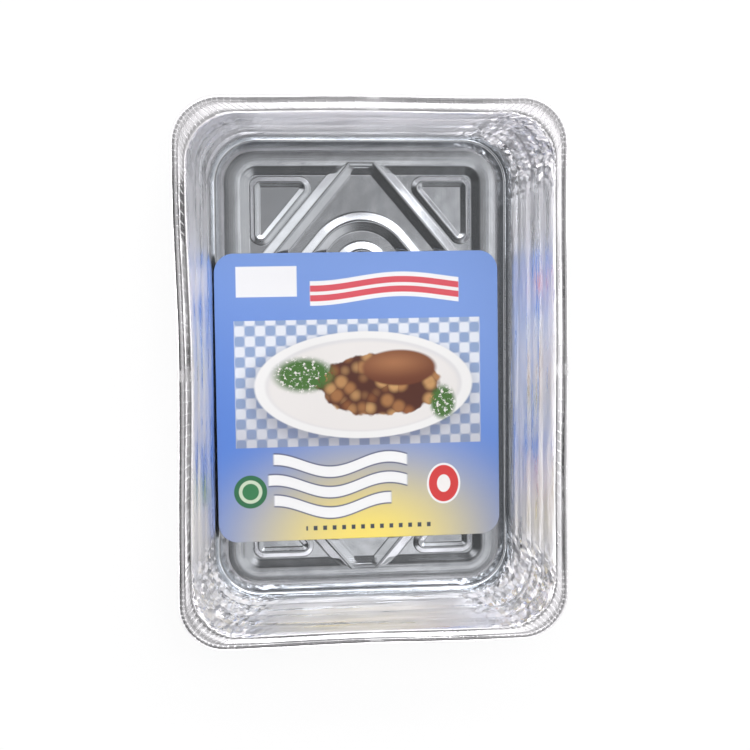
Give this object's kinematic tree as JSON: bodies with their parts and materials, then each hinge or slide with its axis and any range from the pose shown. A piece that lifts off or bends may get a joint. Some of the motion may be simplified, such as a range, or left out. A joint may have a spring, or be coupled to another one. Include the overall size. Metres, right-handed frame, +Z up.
{
  "type": "foil roasting pan",
  "caption": "Deep rectangular foil roasting pan with leaning pleated walls, rolled rim and ribbed base, with a printed card lying inside.",
  "frame": {"origin": "under the middle of the pan, on the plane that it rests on", "axes": "+X across the pan, +Y along it towards its far end, +Z up out of its mouth"},
  "size_m": [0.276, 0.382, 0.0663],
  "materials": {
    "foil": "bright rolled foil",
    "card": "gloss printed card"
  },
  "bodies": {
    "root": {"pan": "foil", "label": "card"}
  },
  "joints": []
}
